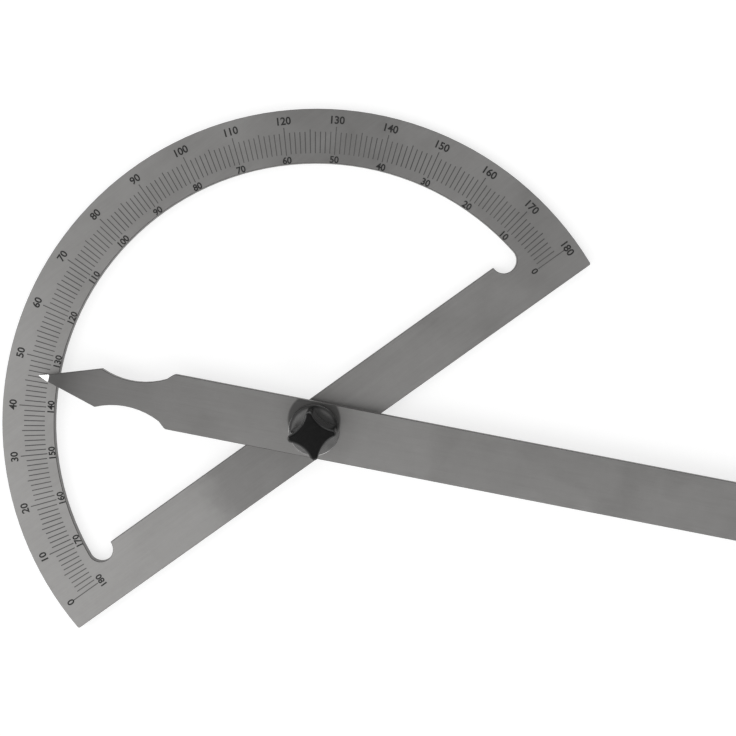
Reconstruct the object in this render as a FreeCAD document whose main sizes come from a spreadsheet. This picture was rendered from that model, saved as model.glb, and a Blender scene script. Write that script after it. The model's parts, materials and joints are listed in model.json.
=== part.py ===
"""Angle finder with an open bow: a steel scale plate, a pointer arm and a clamping knob at the pivot.

The tool lies flat with its back on z = 0. The straight bar of the plate runs along X, the bow is towards
+Y, and the Z axis is the pivot. All lengths are in millimetres and all angles in degrees.
"""

import FreeCAD, Part
import Sketcher
import math
import os

SIZES = {
    # the scale plate: a half ring and a straight bar, cut from one sheet
    "bow_radius": 100.0,
    "ring_width": 16.8,
    "bar_width": 16.6,
    "plate_thickness": 2.0,
    "plate_corner_radius": 0.6,
    "notch_radius": 4.05,
    "edge_break": 0.15,
    # the pointer arm, measured from the pivot; at rest it reads its angle on the outer scale
    "tip_reach": 89.0,
    "tail_reach": 211.0,
    "arm_width": 17.6,
    "arm_thickness": 2.0,
    "arm_corner_radius": 0.6,
    "head_width": 12.3,
    "neck_reach": 59.5,
    "neck_width": 8.2,
    "neck_radius": 24.3,
    "neck_end_width": 13.5,
    "shoulder_run": 2.25,
    "shoulder_radius": 1.5,
    "bevel_length": 3.8,
    "bevel_edge": 0.5,
    "arm_rest_angle": 46.5,
    # the pivot stud: a countersunk head, a square neck, a plain journal and an M5 end
    "head_recess": 0.1,
    "head_radius": 5.2,
    "head_rim": 0.2,
    "head_height": 1.2,
    "square_width": 5.8,
    "journal_radius": 3.0,
    "journal_step": 0.1,
    "thread_radius": 2.5,
    "thread_chamfer": 0.6,
    # the rings on the stud
    "spacer_radius": 7.0,
    "spacer_thickness": 1.0,
    "washer_radius": 8.0,
    "washer_thickness": 1.2,
    "washer_edge": 0.25,
    # the knob and its metal insert
    "knob_across": 14.6,
    "knob_height": 11.0,
    "knob_corner_radius": 1.2,
    "knob_hollow_radius": 8.5,
    "knob_top_round": 0.7,
    "knob_foot_chamfer": 0.3,
    "knob_rest_angle": -28.5,
    "insert_radius": 3.4,
    "insert_length": 8.0,
    "insert_groove_depth": 0.4,
    "insert_groove_width": 2.0,
    # clearances: beside a turning shaft, inside a loose ring, and between faces that rub
    "running_clearance": 0.05,
    "ring_clearance": 0.1,
    "face_clearance": 0.05,
    "stud_end_gap": 0.5,
    "cavity_gap": 1.0,
}

# A sketch numbers its own axes down from -1, and the start, end and centre of an edge up from 1
H_AXIS, V_AXIS = range(-1, -3, -1)
START, END, CENTRE = range(1, 4)
ORIGIN = (H_AXIS, START)

# Heights above the back of the plate, in terms of the sheet's aliases
PLATE_TOP = "[plate_thickness]"
ARM_BASE = f"({PLATE_TOP} + [spacer_thickness] + [face_clearance])"
ARM_TOP = f"({ARM_BASE} + [arm_thickness])"
WASHER_BASE = f"({ARM_TOP} + [face_clearance])"
KNOB_BASE = f"({WASHER_BASE} + [washer_thickness] + [face_clearance])"
JOURNAL_TOP = f"({ARM_TOP} - [journal_step])"
STUD_TOP = f"({KNOB_BASE} + [insert_length] - [stud_end_gap])"
HEAD_TOP = "([head_recess] + [head_height])"
CONE_TOP_RADIUS = "([head_radius] - [head_height] + [head_rim])"

doc = FreeCAD.newDocument("angle_finder")
sheet = doc.addObject("Spreadsheet::Sheet", "Sizes")


def fill_sheet():
    """Write each driving dimension into the sheet under its own alias."""
    for row, (alias, number) in enumerate(SIZES.items(), start=1):
        sheet.set(f"A{row}", alias)
        sheet.set(f"B{row}", str(number))
        sheet.setAlias(f"B{row}", alias)
    doc.recompute()


def size(alias):
    """A driving dimension as the sheet holds it."""
    return float(getattr(sheet, alias))


def bound(text):
    """An expression in which each [alias] is looked up in the sheet."""
    return text.replace("[", "Sizes.").replace("]", "")


def evaluate(text):
    """The value of an expression, for the place where the geometry is first drawn."""
    return float(sheet.evalExpression(bound(text)))


def point(across, up):
    return FreeCAD.Vector(across, up, 0)


def new_body(name):
    body = doc.addObject("PartDesign::Body", name)
    body.Label = name
    return body


def new_sketch(body, name, plane, offset=None):
    """A sketch on one of the body's own origin planes, moved along the plane's normal if asked."""
    sketch = body.newObject("Sketcher::SketchObject", name)
    for feature in body.Origin.OriginFeatures:
        if feature.Role == plane:
            sketch.AttachmentSupport = [(feature, "")]
    sketch.MapMode = "FlatFace"
    if offset:
        sketch.setExpression("AttachmentOffset.Base.z", bound(offset))
    return sketch


def line(sketch, start, end):
    return sketch.addGeometry(Part.LineSegment(start, end), False)


def arc(sketch, centre, radius, first, last):
    circle = Part.Circle(centre, FreeCAD.Vector(0, 0, 1), radius)
    return sketch.addGeometry(Part.ArcOfCircle(circle, first, last), False)


def rule(sketch, kind, *where):
    sketch.addConstraint(Sketcher.Constraint(kind, *where))


def dimension(sketch, name, kind, *where, text):
    """A dimension that the sheet drives: it starts at the drawn value and follows its expression."""
    index = sketch.addConstraint(Sketcher.Constraint(kind, *where))
    sketch.renameConstraint(index, name)
    sketch.setExpression(f"Constraints.{name}", bound(text))


def chain(sketch, pairs):
    for first, first_end, second, second_end in pairs:
        rule(sketch, "Coincident", first, first_end, second, second_end)


def profile(sketch, corners):
    """A closed outline of straight lines; each corner is (across, up), with an expression for both."""
    places = [point(evaluate(across), evaluate(up)) for across, up in corners]
    count = len(corners)
    edges = [line(sketch, places[index], places[(index + 1) % count]) for index in range(count)]
    chain(sketch, [(edges[index], END, edges[(index + 1) % count], START) for index in range(count)])
    for index, (across, up) in enumerate(corners):
        hold(sketch, edges[index], f"across_{index}", "DistanceX", V_AXIS, across)
        hold(sketch, edges[index], f"up_{index}", "DistanceY", H_AXIS, up)


def hold(sketch, edge, name, kind, axis, text):
    """Hold one coordinate of an edge's start, on the axis itself where it is zero."""
    if text == "0":
        rule(sketch, "PointOnObject", edge, START, axis)
    else:
        dimension(sketch, name, kind, *ORIGIN, edge, START, evaluate(text), text=text)


def pad(body, name, sketch, length):
    feature = body.newObject("PartDesign::Pad", name)
    feature.Profile = sketch
    feature.setExpression("Length", bound(length))
    return feature


def pocket_through(body, name, sketch):
    """Cut the sketch through the whole body, both ways from its plane."""
    feature = body.newObject("PartDesign::Pocket", name)
    feature.Profile = sketch
    feature.Type = "ThroughAll"
    feature.SideType = "Symmetric"
    return feature


def turned(body, name, kind, sketch):
    """A full turn of the sketch about the body's own Z axis, added or cut."""
    feature = body.newObject(kind, name)
    feature.Profile = sketch
    feature.ReferenceAxis = (sketch, ["V_Axis"])
    feature.Angle = 360.0
    return feature


def dressed(body, name, kind, base, edges, text):
    """A fillet or chamfer of the named edges, with its size from the sheet."""
    feature = body.newObject(kind, name)
    feature.Base = (base, edges)
    feature.setExpression("Radius" if kind.endswith("Fillet") else "Size", bound(text))
    return feature


def edges_where(feature, wanted):
    """The names of the feature's edges for which wanted(edge) holds."""
    doc.recompute()
    names = [f"Edge{index}" for index, edge in enumerate(feature.Shape.Edges, start=1) if wanted(edge)]
    if not names:
        raise RuntimeError(f"{feature.Name} has no edge to dress")
    return names


def is_upright(edge):
    box = edge.BoundBox
    return box.XLength < 1e-6 and box.YLength < 1e-6


def lies_at(edge, height):
    box = edge.BoundBox
    return abs(box.ZMin - height) < 1e-6 and abs(box.ZMax - height) < 1e-6


def circle_hole(body, name, radius):
    """A round hole through the body on its Z axis."""
    sketch = new_sketch(body, f"{name}_sketch", "XY_Plane")
    ring = sketch.addGeometry(Part.Circle(point(0, 0), FreeCAD.Vector(0, 0, 1), evaluate(radius)), False)
    rule(sketch, "Coincident", ring, CENTRE, *ORIGIN)
    dimension(sketch, "hole_radius", "Radius", ring, evaluate(radius), text=radius)
    return pocket_through(body, name, sketch)


def square(sketch, width):
    """A square of the given width about the sketch's origin."""
    half = evaluate(width) / 2
    corners = [point(-half, -half), point(half, -half), point(half, half), point(-half, half)]
    sides = [line(sketch, corners[index], corners[(index + 1) % 4]) for index in range(4)]
    chain(sketch, [(sides[index], END, sides[(index + 1) % 4], START) for index in range(4)])
    rule(sketch, "Horizontal", sides[0])
    rule(sketch, "Vertical", sides[1])
    rule(sketch, "Horizontal", sides[2])
    rule(sketch, "Vertical", sides[3])
    rule(sketch, "Symmetric", sides[0], START, sides[2], START, *ORIGIN)
    dimension(sketch, "width", "DistanceX", sides[0], START, sides[0], END, 2 * half, text=width)
    dimension(sketch, "depth", "DistanceY", sides[1], START, sides[1], END, 2 * half, text=width)


def plate_outline(sketch):
    """The outer edge: the bow's arc runs on down to the straight edge of the bar."""
    radius = size("bow_radius")
    half_bar = size("bar_width") / 2
    dip = math.asin(half_bar / radius)
    bow = arc(sketch, point(0, 0), radius, -dip, math.pi + dip)
    foot = math.sqrt(radius**2 - half_bar**2)
    edge = line(sketch, point(-foot, -half_bar), point(foot, -half_bar))
    rule(sketch, "Coincident", bow, CENTRE, *ORIGIN)
    chain(sketch, [(bow, END, edge, START), (edge, END, bow, START)])
    rule(sketch, "Horizontal", edge)
    dimension(sketch, "bow", "Radius", bow, radius, text="[bow_radius]")
    dimension(sketch, "half_bar", "DistanceY", edge, START, *ORIGIN, half_bar, text="[bar_width] / 2")


def window_outline(sketch):
    """The open D: the bow's inner arc runs tangent into a round relief notch at each end of the bar."""
    inner = size("bow_radius") - size("ring_width")
    notch = size("notch_radius")
    half_bar = size("bar_width") / 2
    lean = math.asin(half_bar / (inner - notch))
    centre = (inner - notch) * math.cos(lean)
    bow = arc(sketch, point(0, 0), inner, lean, math.pi - lean)
    left = arc(sketch, point(-centre, half_bar), notch, math.pi - lean, 2 * math.pi)
    edge = line(sketch, point(notch - centre, half_bar), point(centre - notch, half_bar))
    right = arc(sketch, point(centre, half_bar), notch, math.pi, 2 * math.pi + lean)
    rule(sketch, "Coincident", bow, CENTRE, *ORIGIN)
    rule(sketch, "Tangent", bow, END, left, START)
    rule(sketch, "Tangent", right, END, bow, START)
    chain(sketch, [(left, END, edge, START), (edge, END, right, START)])
    rule(sketch, "Horizontal", edge)
    rule(sketch, "PointOnObject", left, CENTRE, edge)
    rule(sketch, "PointOnObject", right, CENTRE, edge)
    rule(sketch, "Equal", left, right)
    dimension(sketch, "inner_bow", "Radius", bow, inner, text="[bow_radius] - [ring_width]")
    dimension(sketch, "notch", "Radius", left, notch, text="[notch_radius]")
    dimension(sketch, "half_bar", "DistanceY", *ORIGIN, edge, START, half_bar, text="[bar_width] / 2")


def head_profile(sketch, base):
    """Half the countersunk head: from the given base up over its rim and cone to the square neck."""
    profile(
        sketch,
        [
            ("0", base),
            ("[head_radius]", base),
            ("[head_radius]", "[head_recess] + [head_rim]"),
            (CONE_TOP_RADIUS, HEAD_TOP),
            ("0", HEAD_TOP),
        ],
    )


def make_scale_plate():
    body = new_body("scale_plate")
    outline = new_sketch(body, "plate_outline", "XY_Plane")
    plate_outline(outline)
    blank = pad(body, "plate_blank", outline, PLATE_TOP)
    corners = edges_where(blank, is_upright)
    dressed(body, "plate_corners", "PartDesign::Fillet", blank, corners, "[plate_corner_radius]")
    window = new_sketch(body, "window_outline", "XY_Plane")
    window_outline(window)
    opened = pocket_through(body, "window", window)
    height = size("plate_thickness")
    rims = edges_where(opened, lambda edge: lies_at(edge, height))
    dressed(body, "top_edge_break", "PartDesign::Chamfer", opened, rims, "[edge_break]")
    neck = new_sketch(body, "square_hole_outline", "XY_Plane")
    square(neck, "[square_width]")
    pocket_through(body, "square_hole", neck)
    sink = new_sketch(body, "countersink_profile", "XZ_Plane")
    head_profile(sink, "-[head_recess]")
    turned(body, "countersink", "PartDesign::Groove", sink)
    return body


def arm_half(sketch):
    """Half the arm above its centre line: a pointed head, a round neck, a sloped shoulder and a tail."""
    tip = size("tip_reach")
    tail = size("tail_reach")
    half = size("arm_width") / 2
    head = size("head_width") / 2
    neck_end = size("neck_end_width") / 2
    run = size("shoulder_run")
    radius = size("neck_radius")
    neck_x = size("neck_reach")
    neck_y = size("neck_width") / 2 + radius
    head_angle = math.asin((neck_y - head) / radius)
    tail_angle = math.asin((neck_y - neck_end) / radius)
    head_x = neck_x + radius * math.cos(head_angle)
    tail_x = neck_x - radius * math.cos(tail_angle)
    centre_line = line(sketch, point(-tail, 0), point(tip, 0))
    taper = line(sketch, point(tip, 0), point(head_x, head))
    neck = arc(sketch, point(neck_x, neck_y), radius, math.pi + tail_angle, 2 * math.pi - head_angle)
    shoulder = line(sketch, point(tail_x, neck_end), point(tail_x - run, half))
    side = line(sketch, point(tail_x - run, half), point(-tail, half))
    butt = line(sketch, point(-tail, half), point(-tail, 0))
    chain(
        sketch,
        [
            (centre_line, END, taper, START),
            (taper, END, neck, END),
            (neck, START, shoulder, START),
            (shoulder, END, side, START),
            (side, END, butt, START),
            (butt, END, centre_line, START),
        ],
    )
    rule(sketch, "PointOnObject", centre_line, START, H_AXIS)
    rule(sketch, "PointOnObject", centre_line, END, H_AXIS)
    rule(sketch, "Horizontal", side)
    rule(sketch, "Vertical", butt)
    dimension(sketch, "tip", "DistanceX", *ORIGIN, centre_line, END, tip, text="[tip_reach]")
    dimension(sketch, "tail", "DistanceX", centre_line, START, *ORIGIN, tail, text="[tail_reach]")
    dimension(sketch, "half_width", "DistanceY", *ORIGIN, side, END, half, text="[arm_width] / 2")
    dimension(sketch, "half_head", "DistanceY", *ORIGIN, taper, END, head, text="[head_width] / 2")
    dimension(sketch, "neck_end", "DistanceY", *ORIGIN, neck, START, neck_end, text="[neck_end_width] / 2")
    dimension(sketch, "run", "DistanceX", shoulder, END, shoulder, START, run, text="[shoulder_run]")
    dimension(sketch, "neck", "Radius", neck, radius, text="[neck_radius]")
    dimension(sketch, "neck_x", "DistanceX", *ORIGIN, neck, CENTRE, neck_x, text="[neck_reach]")
    neck_height = "[neck_width] / 2 + [neck_radius]"
    dimension(sketch, "neck_y", "DistanceY", *ORIGIN, neck, CENTRE, neck_y, text=neck_height)


def bevel_profile(sketch):
    """The wedge that is ground off the top of the tip, seen from the side of the arm."""
    start = "([tip_reach] - [bevel_length])"
    profile(
        sketch,
        [
            (start, "[arm_thickness]"),
            ("[tip_reach]", "[bevel_edge]"),
            ("[tip_reach] + [bevel_length]", "[bevel_edge]"),
            ("[tip_reach] + [bevel_length]", "[arm_thickness]"),
        ],
    )


def is_side_corner(edge):
    """Whether the edge stands upright at the arm's full width."""
    off_centre = abs(edge.CenterOfMass.y)
    return is_upright(edge) and abs(off_centre - size("arm_width") / 2) < 1e-6


def make_pointer_arm():
    body = new_body("pointer_arm")
    outline = new_sketch(body, "arm_half_outline", "XY_Plane")
    arm_half(outline)
    half = pad(body, "arm_half", outline, "[arm_thickness]")
    doc.recompute()
    whole = body.newObject("PartDesign::Mirrored", "arm_whole")
    whole.Originals = [half]
    whole.MirrorPlane = (outline, ["H_Axis"])
    body.Tip = whole
    butt = edges_where(whole, lambda edge: is_side_corner(edge) and edge.BoundBox.XMax < 0)
    squared = dressed(body, "tail_corners", "PartDesign::Fillet", whole, butt, "[arm_corner_radius]")
    sloped = edges_where(squared, lambda edge: is_side_corner(edge) and edge.BoundBox.XMin > 0)
    rounded = dressed(body, "shoulders", "PartDesign::Fillet", squared, sloped, "[shoulder_radius]")
    height = size("arm_thickness")
    rims = edges_where(rounded, lambda edge: lies_at(edge, height))
    dressed(body, "arm_edge_break", "PartDesign::Chamfer", rounded, rims, "[edge_break]")
    wedge = new_sketch(body, "bevel_profile", "XZ_Plane")
    bevel_profile(wedge)
    pocket_through(body, "tip_bevel", wedge)
    circle_hole(body, "pivot_bore", "[journal_radius] + [running_clearance]")
    body.setExpression("Placement.Base.z", bound(ARM_BASE))
    body.setExpression("Placement.Rotation.Angle", bound("180 - [arm_rest_angle]"))
    return body


def make_pivot_stud():
    body = new_body("pivot_stud")
    head = new_sketch(body, "stud_head_profile", "XZ_Plane")
    head_profile(head, "[head_recess]")
    turned(body, "stud_head", "PartDesign::Revolution", head)
    neck = new_sketch(body, "stud_square", "XY_Plane", offset=HEAD_TOP)
    square(neck, "[square_width]")
    pad(body, "square_neck", neck, f"{PLATE_TOP} - {HEAD_TOP}")
    shank = new_sketch(body, "stud_shank_profile", "XZ_Plane")
    profile(
        shank,
        [
            ("0", PLATE_TOP),
            ("[journal_radius]", PLATE_TOP),
            ("[journal_radius]", JOURNAL_TOP),
            ("[thread_radius]", JOURNAL_TOP),
            ("[thread_radius]", f"{STUD_TOP} - [thread_chamfer]"),
            ("[thread_radius] - [thread_chamfer]", STUD_TOP),
            ("0", STUD_TOP),
        ],
    )
    turned(body, "stud_shank", "PartDesign::Revolution", shank)
    return body


def make_ring(name, inner, outer, thickness, base, top_round=None):
    """A flat ring on the stud, with its lower face at the given height."""
    body = new_body(name)
    section = new_sketch(body, f"{name}_section", "XZ_Plane")
    profile(section, [(inner, "0"), (outer, "0"), (outer, thickness), (inner, thickness)])
    ring = turned(body, f"{name}_ring", "PartDesign::Revolution", section)
    if top_round:
        height = evaluate(thickness)
        reach = 2 * evaluate(outer)
        rim = edges_where(ring, lambda edge: lies_at(edge, height) and edge.BoundBox.XLength > reach - 0.1)
        dressed(body, f"{name}_rounding", "PartDesign::Fillet", ring, rim, top_round)
    body.setExpression("Placement.Base.z", bound(base))
    return body


def insert_profile(sketch, bore, cavity_top=None):
    """Half the moulded-in insert with its holding groove, and the cavity above it if its top is given."""
    groove_radius = "([insert_radius] - [insert_groove_depth])"
    groove_low = "(([insert_length] - [insert_groove_width]) / 2)"
    groove_high = "(([insert_length] + [insert_groove_width]) / 2)"
    corners = [
        (bore, "0"),
        ("[insert_radius]", "0"),
        ("[insert_radius]", groove_low),
        (groove_radius, groove_low),
        (groove_radius, groove_high),
        ("[insert_radius]", groove_high),
        ("[insert_radius]", "[insert_length]"),
    ]
    if cavity_top:
        corners += [("[thread_radius]", "[insert_length]"), ("[thread_radius]", cavity_top)]
    corners += [(bore, cavity_top or "[insert_length]")]
    profile(sketch, corners)


def make_knob_insert():
    body = new_body("knob_insert")
    section = new_sketch(body, "insert_section", "XZ_Plane")
    insert_profile(section, "[thread_radius] + [running_clearance]")
    turned(body, "insert_bush", "PartDesign::Revolution", section)
    body.setExpression("Placement.Base.z", bound(KNOB_BASE))
    return body


def knob_outline(sketch):
    """Four round points on the axes, joined by hollow sides that run tangent into them."""
    tip = size("knob_corner_radius")
    hollow = size("knob_hollow_radius")
    reach = size("knob_across") / 2 - tip
    side = reach / math.sqrt(2)
    away = side + math.sqrt((hollow + tip) ** 2 - side**2)
    hollow_x = away / math.sqrt(2)
    spread = math.atan2(hollow_x, hollow_x - reach)
    swing = math.atan2(hollow_x - reach, hollow_x)
    quarter = math.pi / 2
    tips = []
    hollows = []
    for turn in range(4):
        facing = turn * quarter
        centre = point(reach * math.cos(facing), reach * math.sin(facing))
        tips.append(arc(sketch, centre, tip, facing - spread, facing + spread))
    for turn in range(4):
        facing = (turn + 0.5) * quarter
        centre = point(away * math.cos(facing), away * math.sin(facing))
        middle = facing + math.pi
        half_sweep = quarter / 2 - swing
        hollows.append(arc(sketch, centre, hollow, middle - half_sweep, middle + half_sweep))
    for turn in range(4):
        rule(sketch, "Tangent", hollows[turn], END, tips[turn], END)
        rule(sketch, "Tangent", hollows[turn], START, tips[(turn + 1) % 4], START)
        rule(sketch, "PointOnObject", tips[turn], CENTRE, V_AXIS if turn % 2 else H_AXIS)
    for turn in range(1, 4):
        rule(sketch, "Equal", tips[0], tips[turn])
        rule(sketch, "Equal", hollows[0], hollows[turn])
    reach_text = "[knob_across] / 2 - [knob_corner_radius]"
    dimension(sketch, "tip", "Radius", tips[0], tip, text="[knob_corner_radius]")
    dimension(sketch, "hollow", "Radius", hollows[0], hollow, text="[knob_hollow_radius]")
    dimension(sketch, "east", "DistanceX", *ORIGIN, tips[0], CENTRE, reach, text=reach_text)
    dimension(sketch, "north", "DistanceY", *ORIGIN, tips[1], CENTRE, reach, text=reach_text)
    dimension(sketch, "west", "DistanceX", tips[2], CENTRE, *ORIGIN, reach, text=reach_text)
    dimension(sketch, "south", "DistanceY", tips[3], CENTRE, *ORIGIN, reach, text=reach_text)


def make_knob_body():
    body = new_body("knob_body")
    outline = new_sketch(body, "knob_outline", "XY_Plane")
    knob_outline(outline)
    block = pad(body, "knob_block", outline, "[knob_height]")
    height = size("knob_height")
    top = edges_where(block, lambda edge: lies_at(edge, height))
    rounded = dressed(body, "knob_top_round", "PartDesign::Fillet", block, top, "[knob_top_round]")
    foot = edges_where(rounded, lambda edge: lies_at(edge, 0))
    dressed(body, "knob_foot", "PartDesign::Chamfer", rounded, foot, "[knob_foot_chamfer]")
    socket = new_sketch(body, "insert_socket_section", "XZ_Plane")
    insert_profile(socket, "0", "[insert_length] + [cavity_gap]")
    turned(body, "insert_socket", "PartDesign::Groove", socket)
    body.setExpression("Placement.Base.z", bound(KNOB_BASE))
    body.setExpression("Placement.Rotation.Angle", bound("[knob_rest_angle]"))
    return body


def check_and_write(bodies):
    """Stop on a failed feature or a bad solid, then write one file for each piece."""
    doc.recompute()
    for item in doc.Objects:
        if {"Invalid", "Error"} & set(item.State):
            raise RuntimeError(f"{item.Name} is {item.State}")
    for body in bodies:
        shape = body.Shape
        if shape.isNull() or not shape.isValid() or len(shape.Solids) != 1:
            raise RuntimeError(f"{body.Label} is not one valid solid")
    os.makedirs("parts", exist_ok=True)
    for body in bodies:
        body.Shape.exportStep(f"parts/{body.Label}.step")
        print(f"{body.Label}: {body.Shape.Volume:.2f} mm3")


fill_sheet()
pieces = [
    make_scale_plate(),
    make_pivot_stud(),
    make_ring(
        "spacer_washer",
        "[journal_radius] + [ring_clearance]",
        "[spacer_radius]",
        "[spacer_thickness]",
        PLATE_TOP,
    ),
    make_pointer_arm(),
    make_ring(
        "flat_washer",
        "[thread_radius] + [ring_clearance]",
        "[washer_radius]",
        "[washer_thickness]",
        WASHER_BASE,
        top_round="[washer_edge]",
    ),
    make_knob_insert(),
    make_knob_body(),
]
check_and_write(pieces)
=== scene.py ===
"""The looks of the open-bow protractor: steel and plastic finishes, etched scale, studio and camera.

Everything is in metres and in the part's own frame: the plate's back on z = 0, the bar along X, the bow
towards +Y and the pivot on the Z axis. Sizes that a workshop would give in millimetres are written so.
"""

import json
import math

import bmesh
import bpy
from mathutils import Matrix, Vector


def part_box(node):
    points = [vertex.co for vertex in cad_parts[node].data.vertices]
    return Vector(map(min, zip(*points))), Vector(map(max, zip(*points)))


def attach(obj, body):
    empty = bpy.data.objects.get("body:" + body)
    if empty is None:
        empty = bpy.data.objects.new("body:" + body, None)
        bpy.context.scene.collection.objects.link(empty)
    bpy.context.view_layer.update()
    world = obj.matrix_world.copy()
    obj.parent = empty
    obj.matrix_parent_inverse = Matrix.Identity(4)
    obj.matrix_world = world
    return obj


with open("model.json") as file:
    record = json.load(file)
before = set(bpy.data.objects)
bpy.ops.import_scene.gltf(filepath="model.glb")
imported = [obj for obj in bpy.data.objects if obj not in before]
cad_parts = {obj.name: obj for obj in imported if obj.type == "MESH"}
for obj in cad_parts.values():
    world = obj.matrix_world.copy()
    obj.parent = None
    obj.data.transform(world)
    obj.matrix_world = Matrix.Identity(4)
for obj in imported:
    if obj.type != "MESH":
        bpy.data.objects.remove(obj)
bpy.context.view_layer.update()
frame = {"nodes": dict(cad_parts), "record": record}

MM = 0.001

# The plate and the arm, as the frame gives them
PLATE_LOW, PLATE_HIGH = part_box("scale_plate")
BOW_RADIUS = PLATE_HIGH.x
PLATE_TOP = PLATE_HIGH.z
ARM_LOW, ARM_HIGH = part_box("pointer_arm")


def mount_axis(name):
    """The outward direction of one of the record's mounts."""
    return next(Vector(mount["axis"]) for mount in frame["record"]["mounts"] if mount["name"] == name)


# The arm's straight edge faces square to the arm, so a quarter turn from it points to the tip. The tip is
# the arm's furthest point both to the left and towards the bow, so it is at a corner of the arm's box.
arm_edge = mount_axis("arm_edge")
ARM_ANGLE = math.atan2(arm_edge.x, -arm_edge.y)
TIP_REACH = Vector((ARM_LOW.x, ARM_HIGH.y)).dot(Vector((math.cos(ARM_ANGLE), math.sin(ARM_ANGLE))))

# Painted shadow of the knob on the arm and the washer, beside the knob on the bow's side and outside a ring
# round the pivot
KNOB_SHADOW_CENTRE = (1.9 * MM, 2.6 * MM)
KNOB_SHADOW_RADIUS = 8.2 * MM
KNOB_SHADOW_BLEND = 0.3 * MM
KNOB_SHADOW_DEPTH = 0.60
SHADOW_FREE_RADIUS = 7.0 * MM

# How squarely a face points up or down, from 0 to 1: a wall is below the first number, a chamfer of 45
# degrees lies between the second and the third, and a flat face is above the last
WALL_UP = 0.3
CHAMFER_UP = 0.6
EDGE_UP = 0.75
FLAT_UP = 0.90

# Nearly all of a noise's values lie between the first two, and of the sum of two noises between the others
NOISE_LOW = 0.3
NOISE_HIGH = 0.7
SUM_LOW = 0.7
SUM_HIGH = 1.3


class Finish:
    """A material in the making: nodes are added by kind and joined to a principled shader."""

    def __init__(self, name, metallic=0.0, **fixed):
        self.material = bpy.data.materials.new(name)
        self.material.use_nodes = True
        self.tree = self.material.node_tree
        self.tree.nodes.clear()
        self.shader = self.tree.nodes.new("ShaderNodeBsdfPrincipled")
        output = self.tree.nodes.new("ShaderNodeOutputMaterial")
        self.tree.links.new(self.shader.outputs["BSDF"], output.inputs["Surface"])
        self.shader.inputs["Metallic"].default_value = metallic
        for socket, number in fixed.items():
            self.shader.inputs[socket.replace("_", " ")].default_value = number
        self.place = self.add("ShaderNodeTexCoord").outputs["Object"]
        self.normal = self.add("ShaderNodeNewGeometry").outputs["Normal"]

    def add(self, kind, **settings):
        """A new node of this kind, with these settings."""
        node = self.tree.nodes.new(kind)
        for name, setting in settings.items():
            setattr(node, name, setting)
        return node

    def feed(self, socket, source):
        """Join an output to an input, or write a plain number or colour into it."""
        if isinstance(source, bpy.types.NodeSocket):
            self.tree.links.new(source, socket)
        else:
            socket.default_value = source

    def maths(self, operation, first, second=0.0):
        """One step of arithmetic on two values."""
        node = self.add("ShaderNodeMath", operation=operation)
        self.feed(node.inputs[0], first)
        self.feed(node.inputs[1], second)
        return node.outputs[0]

    def part(self, vector, axis):
        """One of a vector's three numbers, by its axis's letter."""
        node = self.add("ShaderNodeSeparateXYZ")
        self.feed(node.inputs[0], vector)
        return node.outputs[axis]

    def turned(self, angle):
        """The place on the piece, turned so that a direction at this angle lies along X."""
        node = self.add("ShaderNodeMapping", vector_type="POINT")
        self.feed(node.inputs["Vector"], self.place)
        node.inputs["Rotation"].default_value = (0, 0, -angle)
        return node.outputs[0]

    def cells(self, vector, size, seed=0.0):
        """The place measured in cells of this size, three lengths in metres."""
        node = self.add("ShaderNodeMapping", vector_type="POINT")
        self.feed(node.inputs["Vector"], vector)
        node.inputs["Scale"].default_value = [1 / length for length in size]
        node.inputs["Location"].default_value = (seed, seed, seed)
        return node.outputs[0]

    def noise(self, vector, size, detail=2.0, rough=0.5, seed=0.0, warp=0.0):
        """Soft random values from 0 to 1, in cells of this size."""
        node = self.add("ShaderNodeTexNoise")
        self.feed(node.inputs["Vector"], self.cells(vector, size, seed))
        node.inputs["Scale"].default_value = 1.0
        node.inputs["Detail"].default_value = detail
        node.inputs["Roughness"].default_value = rough
        node.inputs["Distortion"].default_value = warp
        return node.outputs["Fac"]

    def ranged(self, value, low, high, to_low=0.0, to_high=1.0, smooth=False):
        """The value moved from one range to another and held inside it."""
        node = self.add("ShaderNodeMapRange", clamp=True)
        node.interpolation_type = "SMOOTHSTEP" if smooth else "LINEAR"
        self.feed(node.inputs["Value"], value)
        node.inputs["From Min"].default_value = low
        node.inputs["From Max"].default_value = high
        node.inputs["To Min"].default_value = to_low
        node.inputs["To Max"].default_value = to_high
        return node.outputs[0]

    def mixed(self, share, first, second):
        """A colour between two, which may be sockets or plain colours."""
        node = self.add("ShaderNodeMix", data_type="RGBA", clamp_factor=True)
        self.feed(node.inputs[0], share)
        self.feed(node.inputs[6], first)
        self.feed(node.inputs[7], second)
        return node.outputs[2]

    def bump(self, height, depth, strength, under=None):
        """Relief of this depth in metres, laid over another relief if there is one."""
        node = self.add("ShaderNodeBump")
        node.inputs["Strength"].default_value = strength
        node.inputs["Distance"].default_value = depth
        self.feed(node.inputs["Height"], height)
        if under:
            self.feed(node.inputs["Normal"], under)
        return node.outputs[0]

    def radius(self, centre=(0, 0)):
        """How far the place is from the pivot axis, or from an upright axis through another centre."""
        offset = self.add("ShaderNodeVectorMath", operation="SUBTRACT")
        self.feed(offset.inputs[0], self.place)
        offset.inputs[1].default_value = (*centre, 0)
        flat = self.add("ShaderNodeVectorMath", operation="MULTIPLY")
        self.feed(flat.inputs[0], offset.outputs[0])
        flat.inputs[1].default_value = (1, 1, 0)
        length = self.add("ShaderNodeVectorMath", operation="LENGTH")
        self.feed(length.inputs[0], flat.outputs[0])
        return length.outputs["Value"]

    def edge_share(self):
        """1 on walls and on chamfers of 45 degrees, 0 on the flat faces and on the pointer's facet."""
        up = self.maths("ABSOLUTE", self.part(self.normal, "Z"))
        return self.ranged(up, EDGE_UP, FLAT_UP, 1.0, 0.0)

    def wall_share(self):
        """1 on upright walls, 0 on chamfers and flat faces."""
        up = self.maths("ABSOLUTE", self.part(self.normal, "Z"))
        return self.ranged(up, WALL_UP, CHAMFER_UP, 1.0, 0.0)

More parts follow.
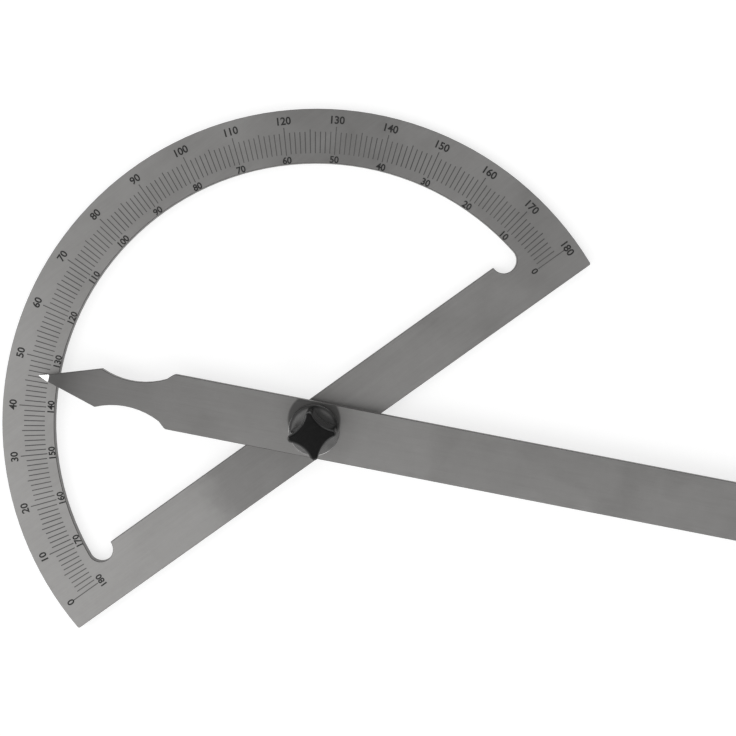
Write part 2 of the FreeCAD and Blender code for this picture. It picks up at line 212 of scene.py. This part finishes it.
    def grimed(self, colour):
        """Painted shadow of the knob beside it, on the side of the bow, outside a ring round the pivot."""
        outside = self.ranged(self.radius(), SHADOW_FREE_RADIUS - KNOB_SHADOW_BLEND, SHADOW_FREE_RADIUS + KNOB_SHADOW_BLEND)
        full_to = KNOB_SHADOW_RADIUS - KNOB_SHADOW_BLEND
        none_from = KNOB_SHADOW_RADIUS + KNOB_SHADOW_BLEND
        beside = self.ranged(self.radius(KNOB_SHADOW_CENTRE), full_to, none_from, KNOB_SHADOW_DEPTH, 0.0)
        return self.mixed(self.maths("MULTIPLY", outside, beside), colour, grey(0.0))

    def finish(self, colour, rough, normal=None):
        """Join the looks to the shader, and give the finished material."""
        self.feed(self.shader.inputs["Base Color"], colour)
        self.feed(self.shader.inputs["Roughness"], rough)
        if normal:
            self.feed(self.shader.inputs["Normal"], normal)
        return self.material


def grey(level, warmth=0.0):
    """A neutral colour, a little warmer where warmth is above zero."""
    return (level * (1 + warmth), level, level * (1 - warmth), 1.0)


# How much each layer adds to the tone of brushed steel; they add up to 1
HAIR_SHARE = 0.36
BAND_SHARE = 0.18
CLOUD_SHARE = 0.30
MARK_SHARE = 0.16

# The stretch of the summed tone that goes from the dark grey to the light one
TONE_LOW = 0.36
TONE_HIGH = 0.64

# The layers' cells: along the brushing, across it and down
HAIR_CELL = (9 * MM, 0.13 * MM, 0.13 * MM)
BAND_CELL = (70 * MM, 1.3 * MM, 1.3 * MM)
CLOUD_CELL = (24 * MM,) * 3
MARK_CELL = (2.2 * MM,) * 3
SHEAR_CELL = (0.25 * MM, 0.25 * MM, 3 * MM)

# How deep the brushed hairs and the pits are
HAIR_DEPTH = 0.004 * MM
MARK_DEPTH = 0.006 * MM

# Satin sheet scatters a little light as a matt surface does
SHEET_METALLIC = 0.82
# How warm the sheet's dark and light greys are
DARK_WARMTH = 0.020
LIGHT_WARMTH = 0.014

# Cut walls and chamfers, in shares of the sheet's dark grey, and how much rougher they are; their darkness
# is partly the sheared cut and partly painted shade, for the darker reflection the edges show
WALL_DARK = 0.50
WALL_LIGHT = 0.78
CHAMFER_SHADE = 0.25
CUT_ROUGHNESS = 0.12


def brushed_sheet(name, angle, dark, light, rough_low, rough_high, seed, tint):
    """Satin steel sheet, brushed in one direction, with clouds, pits and darker cut edges, whose darkness
    is partly painted shade.

    The tint is a function that marks the flat faces: it takes the finish and the colour so far.
    """
    steel = Finish(name, metallic=SHEET_METALLIC)
    along = steel.turned(angle)
    hairs = steel.noise(along, HAIR_CELL, detail=3.0, rough=0.65, seed=seed)
    bands = steel.noise(along, BAND_CELL, detail=4.0, rough=0.6, seed=seed + 7)
    clouds = steel.noise(steel.place, CLOUD_CELL, detail=3.0, rough=0.55, seed=seed + 3, warp=0.6)
    marks = steel.noise(steel.place, MARK_CELL, detail=5.0, rough=0.7, seed=seed + 5)
    tone = steel.maths("MULTIPLY", hairs, HAIR_SHARE)
    for share, layer in ((BAND_SHARE, bands), (CLOUD_SHARE, clouds), (MARK_SHARE, marks)):
        tone = steel.maths("ADD", tone, steel.maths("MULTIPLY", layer, share))
    tone = steel.ranged(tone, TONE_LOW, TONE_HIGH)
    colour = tint(steel, steel.mixed(tone, grey(dark, DARK_WARMTH), grey(light, LIGHT_WARMTH)))
    edge = steel.edge_share()
    shear = steel.noise(steel.place, SHEAR_CELL, detail=2.0, seed=seed + 11)
    # Cut walls with shear marks, and chamfers darker still: the edges' darkness is partly painted shade
    cut = steel.mixed(shear, grey(dark * WALL_DARK, DARK_WARMTH), grey(dark * WALL_LIGHT, DARK_WARMTH))
    cut = steel.mixed(steel.wall_share(), grey(dark * CHAMFER_SHADE, DARK_WARMTH), cut)
    colour = steel.mixed(edge, colour, cut)
    rough = steel.ranged(steel.maths("ADD", hairs, clouds), SUM_LOW, SUM_HIGH, rough_low, rough_high)
    rough = steel.maths("ADD", rough, steel.maths("MULTIPLY", edge, CUT_ROUGHNESS))
    relief = steel.bump(hairs, HAIR_DEPTH, strength=0.5)
    relief = steel.bump(marks, MARK_DEPTH, strength=0.25, under=relief)
    return steel.finish(colour, rough, relief)


# Patches of painted shade on the plate, on the bar beside the arm and on the bow, standing in for shadow
# and darker reflections: where each is, the radius up to which it is full, its rim's width and its depth
BAR_SHADE = ((-17 * MM, -1 * MM, 2 * MM), 22 * MM, 12 * MM, 0.24)
BOW_SHADE = ((61 * MM, 73 * MM, 2 * MM), 16 * MM, 26 * MM, 0.14)
# Their rims are ragged by as much as this, in patches of this size
SHADE_RAGGED = 12 * MM
SHADE_CELL = (9 * MM,) * 3

# Faint bright arcs where the arm's burrs have rubbed the plate round the pivot
ARC_CELL = (0.35 * MM, 1, 1)
ARC_START = 9 * MM
ARC_END = 30 * MM
ARC_GREY = 0.5
# The noise's values at which an arc begins and is at its fullest
ARC_LOW = 0.62
ARC_HIGH = 0.8
ARC_STRENGTH = 0.2


def smudged(steel, colour, shade_patch):
    """The plate's colour with a patch of painted shade on it."""
    place, radius, rim, depth = shade_patch
    # Painted shade, full near its place and fading over its ragged rim
    offset = steel.add("ShaderNodeVectorMath", operation="DISTANCE")
    steel.feed(offset.inputs[0], steel.place)
    offset.inputs[1].default_value = place
    ragged = steel.noise(steel.place, SHADE_CELL, detail=3.0, rough=0.55, seed=37)
    reach = steel.maths("ADD", offset.outputs["Value"], steel.maths("MULTIPLY", ragged, SHADE_RAGGED))
    share = steel.ranged(reach, radius, radius + rim, depth, 0.0, smooth=True)
    return steel.mixed(share, colour, grey(0.0))


def rubbed(steel, colour):
    """The plate's colour with the arcs on it."""
    radius = steel.radius()
    arcs = steel.add("ShaderNodeCombineXYZ")
    steel.feed(arcs.inputs[0], radius)
    lines = steel.noise(arcs.outputs[0], ARC_CELL, detail=2.0, rough=0.8, seed=31)
    lines = steel.ranged(lines, ARC_LOW, ARC_HIGH)
    near = steel.ranged(radius, ARC_START, ARC_END, 1.0, 0.0, smooth=True)
    share = steel.maths("MULTIPLY", steel.maths("MULTIPLY", lines, near), ARC_STRENGTH)
    return steel.mixed(share, colour, grey(ARC_GREY))


def plate_marks(steel, colour):
    """The rubbed arcs and the patches of painted shade on the plate."""
    colour = rubbed(steel, colour)
    for shade_patch in (BAR_SHADE, BOW_SHADE):
        colour = smudged(steel, colour, shade_patch)
    return colour


def plate_finish():
    return brushed_sheet(
        "plate_steel",
        angle=0.0,
        dark=0.35,
        light=0.42,
        rough_low=0.40,
        rough_high=0.52,
        seed=2.0,
        tint=plate_marks,
    )


# Painted shade on the arm, standing in for the darker reflection it shows: darker from just behind the
# pivot towards the tip, and more so over the head
ARM_SHADE_START = -20 * MM
ARM_SHADE_END = 60 * MM
ARM_SHADE = 0.28
HEAD_SHADE_START = 58 * MM
HEAD_SHADE_END = 81 * MM
HEAD_SHADE = 0.50

# The facet ground at the tip carries a painted highlight, a far lighter grey than the arm's steel
FACET_LENGTH = 3.8 * MM
FACET_BLEND = 0.05 * MM
FACET_HIGHLIGHT = 0.82


def pointed(steel, colour):
    """The arm's painted shade towards the tip, the painted highlight on its facet, and the knob's painted
    shadow beside it.
    """
    reach = steel.part(steel.turned(ARM_ANGLE), "X")
    # Painted shade, darker towards the tip and more so over the head
    tip_shade = steel.ranged(reach, ARM_SHADE_START, ARM_SHADE_END, 0.0, ARM_SHADE)
    colour = steel.mixed(tip_shade, colour, grey(0.0))
    head = steel.maths("POWER", steel.ranged(reach, HEAD_SHADE_START, HEAD_SHADE_END), 2.0)
    colour = steel.mixed(steel.maths("MULTIPLY", head, HEAD_SHADE), colour, grey(0.0))
    # Painted highlight on the facet at the tip
    facet_start = TIP_REACH - FACET_LENGTH
    facet = steel.ranged(reach, facet_start - FACET_BLEND, facet_start + FACET_BLEND)
    return steel.grimed(steel.mixed(facet, colour, grey(FACET_HIGHLIGHT)))


def arm_finish():
    return brushed_sheet(
        "arm_steel",
        angle=ARM_ANGLE,
        dark=0.35,
        light=0.415,
        rough_low=0.36,
        rough_high=0.48,
        seed=13.0,
        tint=pointed,
    )


# The turned rings and the clouds make up the tone of turned steel
RING_SHARE = 0.6
TURNED_CLOUD_CELL = (3 * MM,) * 3
TURNED_TONE_LOW = 0.35
TURNED_TONE_HIGH = 0.65
TURNED_WARMTH = 0.01
TURNED_EDGE_ROUGHNESS = 0.3
RING_DEPTH = 0.006 * MM


def turned_place(metal):
    """The place as its distance from the pivot axis and its height, for marks that a lathe leaves."""
    rings = metal.add("ShaderNodeCombineXYZ")
    metal.feed(rings.inputs[0], metal.radius())
    metal.feed(rings.inputs[1], metal.part(metal.place, "Z"))
    return rings.outputs[0]


def turned_steel(name, dark, light, rough_low, rough_high, pitch, seed, rim=1.0, with_knob_shadow=False):
    """Turned or stamped steel with fine rings about the pivot axis; its chamfers are dimmed to rim, which
    is painted shade where rim is below 1, and the knob's painted shadow is laid on it where asked.
    """
    steel = Finish(name, metallic=1.0)
    lines = steel.noise(turned_place(steel), (pitch, pitch, 1), detail=3.0, rough=0.7, seed=seed)
    clouds = steel.noise(steel.place, TURNED_CLOUD_CELL, detail=4.0, rough=0.6, seed=seed + 3)
    rings = steel.maths("MULTIPLY", lines, RING_SHARE)
    tone = steel.maths("ADD", rings, steel.maths("MULTIPLY", clouds, 1 - RING_SHARE))
    tone = steel.ranged(tone, TURNED_TONE_LOW, TURNED_TONE_HIGH)
    colour = steel.mixed(tone, grey(dark, TURNED_WARMTH), grey(light, TURNED_WARMTH))
    # The knob's painted shadow on the washer
    if with_knob_shadow:
        colour = steel.grimed(colour)
    # Chamfers dimmed to rim: painted shade where rim is below 1
    chamfer = steel.maths("SUBTRACT", steel.edge_share(), steel.wall_share())
    colour = steel.mixed(chamfer, colour, grey(dark * rim, TURNED_WARMTH))
    rough = steel.ranged(clouds, NOISE_LOW, NOISE_HIGH, rough_low, rough_high)
    rough = steel.maths("ADD", rough, steel.maths("MULTIPLY", steel.edge_share(), TURNED_EDGE_ROUGHNESS))
    return steel.finish(colour, rough, steel.bump(lines, RING_DEPTH, strength=0.4))


def stud_finish():
    return turned_steel(
        "stud_steel", dark=0.40, light=0.52, rough_low=0.22, rough_high=0.36, pitch=0.1 * MM, seed=71
    )


def washer_finish():
    return turned_steel(
        "washer_steel",
        dark=0.32,
        light=0.42,
        rough_low=0.14,
        rough_high=0.24,
        pitch=0.12 * MM,
        seed=73,
        # The chamfer is dimmed as painted shade, and the knob's painted shadow lies on the washer
        rim=0.08,
        with_knob_shadow=True,
    )


BRASS_DARK = (0.52, 0.36, 0.15, 1)
BRASS_LIGHT = (0.74, 0.58, 0.28, 1)
BRASS_RING_CELL = (0.08 * MM, 0.08 * MM, 1)
BRASS_STAIN_CELL = (1.5 * MM,) * 3
BRASS_RING_DEPTH = 0.005 * MM
BRASS_SMOOTH = 0.22
BRASS_ROUGH = 0.4


def brass_finish():
    """Turned brass of the bush inside the knob."""
    brass = Finish("insert_brass", metallic=1.0)
    lines = brass.noise(turned_place(brass), BRASS_RING_CELL, detail=3.0, rough=0.7, seed=41)
    stain = brass.noise(brass.place, BRASS_STAIN_CELL, detail=4.0, seed=43)
    colour = brass.mixed(brass.ranged(stain, NOISE_LOW, NOISE_HIGH), BRASS_DARK, BRASS_LIGHT)
    rough = brass.ranged(stain, NOISE_LOW, NOISE_HIGH, BRASS_SMOOTH, BRASS_ROUGH)
    return brass.finish(colour, rough, brass.bump(lines, BRASS_RING_DEPTH, strength=0.4))


# The knob's black plastic: what its surface varies between, and the rubbed grey of its rounded rim
KNOB_GLOSS = 0.36
KNOB_DARK = 0.0014
KNOB_LIGHT = 0.0036
KNOB_RUBBED = 0.02
RUBBED_SHARE = 0.5
KNOB_SMOOTH = 0.06
KNOB_ROUGH = 0.14
KNOB_TOP_ROUGHNESS = 0.14
GRAIN_CELL = (0.16 * MM,) * 3
SMEAR_CELL = (3.5 * MM,) * 3
SMEAR_LOW = 0.35
SMEAR_HIGH = 0.7
FLOW_CELL = (2.5 * MM, 2.5 * MM, 0.5 * MM)
GRAIN_DEPTH = 0.02 * MM
FLOW_DEPTH = 0.03 * MM

# How squarely the knob's faces point up: its top begins at the first number and is full at the second, and
# its rounded rim comes in over the next two and goes out over the last two
TOP_START = 0.75
TOP_FULL = 0.97
RIM_START = 0.15
RIM_FULL = 0.6
RIM_FADE = 0.7
RIM_END = 0.95


def knob_finish():
    """Black moulded plastic: glossy sides, a finely grained top and rubbed corners."""
    knob = Finish("knob_plastic", Specular_IOR_Level=KNOB_GLOSS)
    up = knob.part(knob.normal, "Z")
    top = knob.ranged(up, TOP_START, TOP_FULL)
    grain = knob.noise(knob.place, GRAIN_CELL, detail=3.0, rough=0.6, seed=51)
    smears = knob.noise(knob.place, SMEAR_CELL, detail=4.0, rough=0.6, seed=53, warp=1.0)
    flow = knob.noise(knob.place, FLOW_CELL, detail=2.0, seed=57)
    smeared = knob.ranged(smears, SMEAR_LOW, SMEAR_HIGH)
    colour = knob.mixed(smeared, grey(KNOB_DARK), grey(KNOB_LIGHT, warmth=0.03))
    rim_in = knob.ranged(up, RIM_START, RIM_FULL)
    rim_out = knob.ranged(up, RIM_FADE, RIM_END, 1.0, 0.0)
    rim = knob.maths("MULTIPLY", rim_in, rim_out)
    colour = knob.mixed(knob.maths("MULTIPLY", rim, RUBBED_SHARE), colour, grey(KNOB_RUBBED))
    rough = knob.ranged(smears, NOISE_LOW, NOISE_HIGH, KNOB_SMOOTH, KNOB_ROUGH)
    rough = knob.maths("ADD", rough, knob.maths("MULTIPLY", top, KNOB_TOP_ROUGHNESS))
    relief = knob.bump(knob.maths("MULTIPLY", grain, top), GRAIN_DEPTH, strength=0.5)
    relief = knob.bump(flow, FLOW_DEPTH, strength=0.35, under=relief)
    return knob.finish(colour, rough, relief)


# The oxide's wear and patches, and the sums of the two at which it begins to thin and is at its thinnest
WEAR_CELL = (0.35 * MM,) * 3
PATCH_CELL = (14 * MM,) * 3
THIN_START = 0.75
THIN_END = 1.3
INK_METALLIC = 0.25
INK_SMOOTH = 0.5
INK_ROUGH = 0.7
INK_DEPTH = 0.004 * MM


def etched_finish(name, dark, light):
    """The dark oxide of the etched lines and numbers, thin in places."""
    ink = Finish(name, metallic=INK_METALLIC)
    wear = ink.noise(ink.place, WEAR_CELL, detail=4.0, rough=0.65, seed=61)
    patches = ink.noise(ink.place, PATCH_CELL, detail=2.0, seed=67)
    thin = ink.ranged(ink.maths("ADD", wear, patches), THIN_START, THIN_END)
    colour = ink.mixed(thin, grey(dark), grey(light, warmth=0.02))
    rough = ink.ranged(wear, NOISE_LOW, NOISE_HIGH, INK_SMOOTH, INK_ROUGH)
    return ink.finish(colour, rough, ink.bump(wear, INK_DEPTH, strength=0.4))


def dress(node, material):
    """Give a CAD node's slots this material on the object, so that its mesh is left as it is."""
    piece = frame["nodes"][node]
    for slot in piece.material_slots:
        slot.link = "OBJECT"
        slot.material = material


def dress_nodes():
    """A finish for each of the seven pieces that come from the CAD."""
    dress("scale_plate", plate_finish())
    dress("pointer_arm", arm_finish())
    dress("pivot_stud", stud_finish())
    washer = washer_finish()
    dress("spacer_washer", washer)
    dress("flat_washer", washer)
    dress("knob_insert", brass_finish())
    dress("knob_body", knob_finish())


# The scale: where its lines start and end and its numbers stand, in shares of the bow's radius
TICK_START = 0.862
TICK_END = 0.929
FIVE_END = 0.936
TEN_START = 0.859
TEN_END = 0.946
LAST_START = 0.858
LAST_END = 0.956
OUTER_NUMBERS = 0.9655
INNER_NUMBERS = 0.843

# How wide the lines are, how high the digits stand, and how far the marks reach over and into the plate
TICK_WIDTH = 0.32 * MM
OUTER_HEIGHT = 2.4 * MM
INNER_HEIGHT = 2.1 * MM
MARK_PROUD = 0.012 * MM
MARK_SUNK = 0.02 * MM


def new_piece(name, mesh_maker, material, body):
    """A new mesh piece that rides on one of the frame's bodies."""
    build = bmesh.new()
    mesh_maker(build)
    mesh = bpy.data.meshes.new(name)
    build.to_mesh(mesh)
    build.free()
    mesh.materials.append(material)
    piece = bpy.data.objects.new(name, mesh)
    bpy.context.scene.collection.objects.link(piece)
    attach(piece, body)


def tick_reach(reading):
    """Where the line at this many degrees starts and ends, as radii."""
    if reading in (0, 180):
        return LAST_START * BOW_RADIUS, LAST_END * BOW_RADIUS
    if reading % 10 == 0:
        return TEN_START * BOW_RADIUS, TEN_END * BOW_RADIUS
    if reading % 5 == 0:
        return TICK_START * BOW_RADIUS, FIVE_END * BOW_RADIUS
    return TICK_START * BOW_RADIUS, TICK_END * BOW_RADIUS


def add_ticks(build):
    """One thin line for each degree, all pointing at the pivot."""
    depth = MARK_PROUD + MARK_SUNK
    height = PLATE_TOP + MARK_PROUD - depth / 2
    for reading in range(181):
        start, end = tick_reach(reading)
        shape = Matrix.Diagonal((end - start, TICK_WIDTH, depth, 1))
        place = Matrix.Translation(((start + end) / 2, 0, height))
        turn = Matrix.Rotation(math.radians(reading), 4, "Z")
        bmesh.ops.create_cube(build, size=1.0, matrix=turn @ place @ shape)


# How high a digit stands for a letter size of 1 in the built-in type, how many straight steps make each of
# its curves, how much bolder it is cut, and how far apart the digits are
DIGIT_SHARE = 0.72
DIGIT_STEPS = 3
STROKE_GROWTH = 0.085 * MM
DIGIT_SPACING = 0.98
# Points of a number's outline nearer than this are joined
SAME_POINT = 0.001 * MM


def text_mesh(text, height_of_zero, thickness):
    """A number as a closed mesh centred on the origin, its zero this high."""
    curve = bpy.data.curves.new("number", "FONT")
    curve.body = text
    curve.align_x = "CENTER"
    curve.align_y = "CENTER"
    curve.resolution_u = DIGIT_STEPS
    curve.size = height_of_zero / DIGIT_SHARE
    curve.space_character = DIGIT_SPACING
    curve.offset = STROKE_GROWTH
    curve.extrude = thickness / 2
    holder = bpy.data.objects.new("number", curve)
    bpy.context.scene.collection.objects.link(holder)
    bpy.context.view_layer.update()
    mesh = bpy.data.meshes.new_from_object(holder.evaluated_get(bpy.context.evaluated_depsgraph_get()))
    bpy.data.objects.remove(holder)
    bpy.data.curves.remove(curve)
    return mesh


def add_numbers(build, radius, digit_height, rising):
    """Every tenth degree's number, tops outward; a rising row counts up from the +X end."""
    depth = MARK_PROUD + MARK_SUNK
    height = PLATE_TOP + MARK_PROUD - depth / 2
    for number in range(0, 181, 10):
        angle = math.radians(number if rising else 180 - number)
        mesh = text_mesh(str(number), digit_height, depth)
        turn = Matrix.Rotation(angle - math.pi / 2, 4, "Z")
        spot = Matrix.Translation((radius * math.cos(angle), radius * math.sin(angle), height))
        mesh.transform(spot @ turn)
        build.from_mesh(mesh)
        bpy.data.meshes.remove(mesh)
    bmesh.ops.remove_doubles(build, verts=build.verts, dist=SAME_POINT)


def add_scale():
    """The degree lines and the two rows of numbers, as thin marks on the plate."""
    tick_ink = etched_finish("etched_lines", dark=0.075, light=0.135)
    number_ink = etched_finish("etched_numbers", dark=0.014, light=0.035)
    new_piece("degree_lines", add_ticks, tick_ink, "protractor")
    new_piece(
        "outer_numbers",
        lambda build: add_numbers(build, OUTER_NUMBERS * BOW_RADIUS, OUTER_HEIGHT, rising=False),
        number_ink,
        "protractor",
    )
    new_piece(
        "inner_numbers",
        lambda build: add_numbers(build, INNER_NUMBERS * BOW_RADIUS, INNER_HEIGHT, rising=True),
        number_ink,
        "protractor",
    )


# The floor lies just under the plate's back
FLOOR_DROP = 0.15 * MM
FLOOR_SIZE = 30.0
# Its grey where it only lights the object, and what the camera and the metal see: a glow, and a darker
# grey that still takes the object's shadow
FLOOR_GREY = 0.78
SHADED_GREY = 0.45
FLOOR_GLOW = 0.68


def floor_paint():
    """Pale paint that the camera and the metal see as white, with the object's soft shadow on it."""
    material = bpy.data.materials.new("floor_paint")
    material.use_nodes = True
    tree = material.node_tree
    tree.nodes.clear()
    output = tree.nodes.new("ShaderNodeOutputMaterial")
    plain = tree.nodes.new("ShaderNodeBsdfDiffuse")
    plain.inputs["Color"].default_value = grey(FLOOR_GREY)
    shaded = tree.nodes.new("ShaderNodeBsdfDiffuse")
    shaded.inputs["Color"].default_value = grey(SHADED_GREY)
    glow = tree.nodes.new("ShaderNodeEmission")
    glow.inputs["Color"].default_value = grey(1.0)
    glow.inputs["Strength"].default_value = FLOOR_GLOW
    seen = tree.nodes.new("ShaderNodeAddShader")
    tree.links.new(shaded.outputs[0], seen.inputs[0])
    tree.links.new(glow.outputs[0], seen.inputs[1])
    path = tree.nodes.new("ShaderNodeLightPath")
    share = path.outputs["Is Camera Ray"]
    for ray in ("Is Glossy Ray", "Is Transmission Ray"):
        either = tree.nodes.new("ShaderNodeMath")
        either.operation = "MAXIMUM"
        tree.links.new(share, either.inputs[0])
        tree.links.new(path.outputs[ray], either.inputs[1])
        share = either.outputs[0]
    mix = tree.nodes.new("ShaderNodeMixShader")
    tree.links.new(share, mix.inputs[0])
    tree.links.new(plain.outputs[0], mix.inputs[1])
    tree.links.new(seen.outputs[0], mix.inputs[2])
    tree.links.new(mix.outputs[0], output.inputs["Surface"])
    return material


def add_floor():
    """A wide pale floor, which is not a part of the object."""
    mesh = bpy.data.meshes.new("floor")
    build = bmesh.new()
    bmesh.ops.create_grid(build, x_segments=1, y_segments=1, size=FLOOR_SIZE / 2)
    build.to_mesh(mesh)
    build.free()
    floor = bpy.data.objects.new("floor", mesh)
    bpy.context.scene.collection.objects.link(floor)
    floor.location.z = PLATE_LOW.z - FLOOR_DROP
    mesh.materials.append(floor_paint())


# The studio: white up to a low height, greyer overhead, and brighter on one side, beyond the bar's -X end
LOW_HEIGHT = 0.15
OVERHEAD_HEIGHT = 0.85
OVERHEAD_GREY = 0.20
BRIGHT_SIDE = (-0.95, -0.31, 0.0)
SIDE_START = 0.08
SIDE_END = 0.5
SIDE_GLOW = 0.80


def add_world():
    """A soft plain studio with no edges in it."""
    world = bpy.data.worlds.new("studio")
    bpy.context.scene.world = world
    world.use_nodes = True
    tree = world.node_tree
    tree.nodes.clear()
    output = tree.nodes.new("ShaderNodeOutputWorld")
    background = tree.nodes.new("ShaderNodeBackground")
    tree.links.new(background.outputs[0], output.inputs["Surface"])
    direction = tree.nodes.new("ShaderNodeSeparateXYZ")
    generated = tree.nodes.new("ShaderNodeTexCoord").outputs["Generated"]
    tree.links.new(generated, direction.inputs[0])

    def ranged(socket, low, high, to_low, to_high):
        node = tree.nodes.new("ShaderNodeMapRange")
        node.interpolation_type = "SMOOTHSTEP"
        tree.links.new(socket, node.inputs["Value"])
        for name, number in zip(("From Min", "From Max", "To Min", "To Max"), (low, high, to_low, to_high)):
            node.inputs[name].default_value = number
        return node.outputs[0]

    def added(first, second):
        node = tree.nodes.new("ShaderNodeMath")
        node.operation = "ADD"
        tree.links.new(first, node.inputs[0])
        tree.links.new(second, node.inputs[1])
        return node.outputs[0]

    lean = tree.nodes.new("ShaderNodeVectorMath")
    lean.operation = "DOT_PRODUCT"
    tree.links.new(generated, lean.inputs[0])
    lean.inputs[1].default_value = BRIGHT_SIDE
    overhead = ranged(direction.outputs["Z"], LOW_HEIGHT, OVERHEAD_HEIGHT, 1.0, OVERHEAD_GREY)
    side = ranged(lean.outputs["Value"], SIDE_START, SIDE_END, 0.0, SIDE_GLOW)
    tree.links.new(added(overhead, side), background.inputs["Strength"])
    background.inputs["Color"].default_value = grey(1.0)


def add_lamp(name, direction, distance, size, brightness):
    """A square soft light at a direction from the object, as bright as a white card of this level."""
    lamp = bpy.data.lights.new(name, "AREA")
    lamp.shape = "SQUARE"
    lamp.size = size
    lamp.energy = brightness * math.pi * size**2
    holder = bpy.data.objects.new(name, lamp)
    bpy.context.scene.collection.objects.link(holder)
    aim = Vector(direction).normalized()
    holder.location = aim * distance
    holder.rotation_mode = "QUATERNION"
    holder.rotation_quaternion = aim.to_track_quat("Z", "Y")
    holder.visible_camera = False


def add_lights():
    """The studio round the object, and three soft lamps."""
    add_world()
    add_lamp("key_light", direction=(-0.72, 0.55, 0.42), distance=0.9, size=0.42, brightness=2.6)
    add_lamp("fill_light", direction=(0.75, 0.5, 0.62), distance=1.0, size=0.55, brightness=0.9)
    add_lamp("low_light", direction=(-0.3, -0.85, 0.6), distance=1.0, size=0.5, brightness=1.5)


# The camera, in millimetres and degrees: where it stands, the spot on the plate that it looks at, and
# the direction on the plate that points up in the picture. The picture is 736 pixels wide, and the
# lens is 900 of those pixels long.
CAMERA_PLACE = (41.79, 26.95, 283.69)
CAMERA_TARGET = (27.05, 25.40, 2.00)
PICTURE_UP = 54.18
PICTURE_WIDTH = 736
LENS_PIXELS = 900
SENSOR_WIDTH = 36.0
NEAREST_SEEN = 0.01
FARTHEST_SEEN = 100.0
# The photograph looks like an off-centre cut of a wider one. With this much of that shift the whole tool
# stays in the picture from every side, at rest and at the joints' limits.
LENS_SHIFT = (0.042, -0.075)


def add_camera():
    """The photograph's camera, with a part of its shift."""
    camera = bpy.data.cameras.new("camera")
    holder = bpy.data.objects.new("camera", camera)
    bpy.context.scene.collection.objects.link(holder)
    camera.sensor_width = SENSOR_WIDTH
    camera.lens = LENS_PIXELS * camera.sensor_width / PICTURE_WIDTH
    camera.shift_x, camera.shift_y = LENS_SHIFT
    place = Vector(CAMERA_PLACE) * MM
    back = (place - Vector(CAMERA_TARGET) * MM).normalized()
    up_angle = math.radians(PICTURE_UP)
    right = Vector((math.cos(up_angle), math.sin(up_angle), 0)).cross(back).normalized()
    up = back.cross(right)
    turn = Matrix((right, up, back)).transposed().to_4x4()
    holder.matrix_world = Matrix.Translation(place) @ turn
    camera.clip_start = NEAREST_SEEN
    camera.clip_end = FARTHEST_SEEN
    bpy.context.scene.camera = holder


def studio_colours():
    bpy.context.scene.view_settings.view_transform = "Standard"


dress_nodes()
add_scale()
add_floor()
add_lights()
add_camera()
studio_colours()
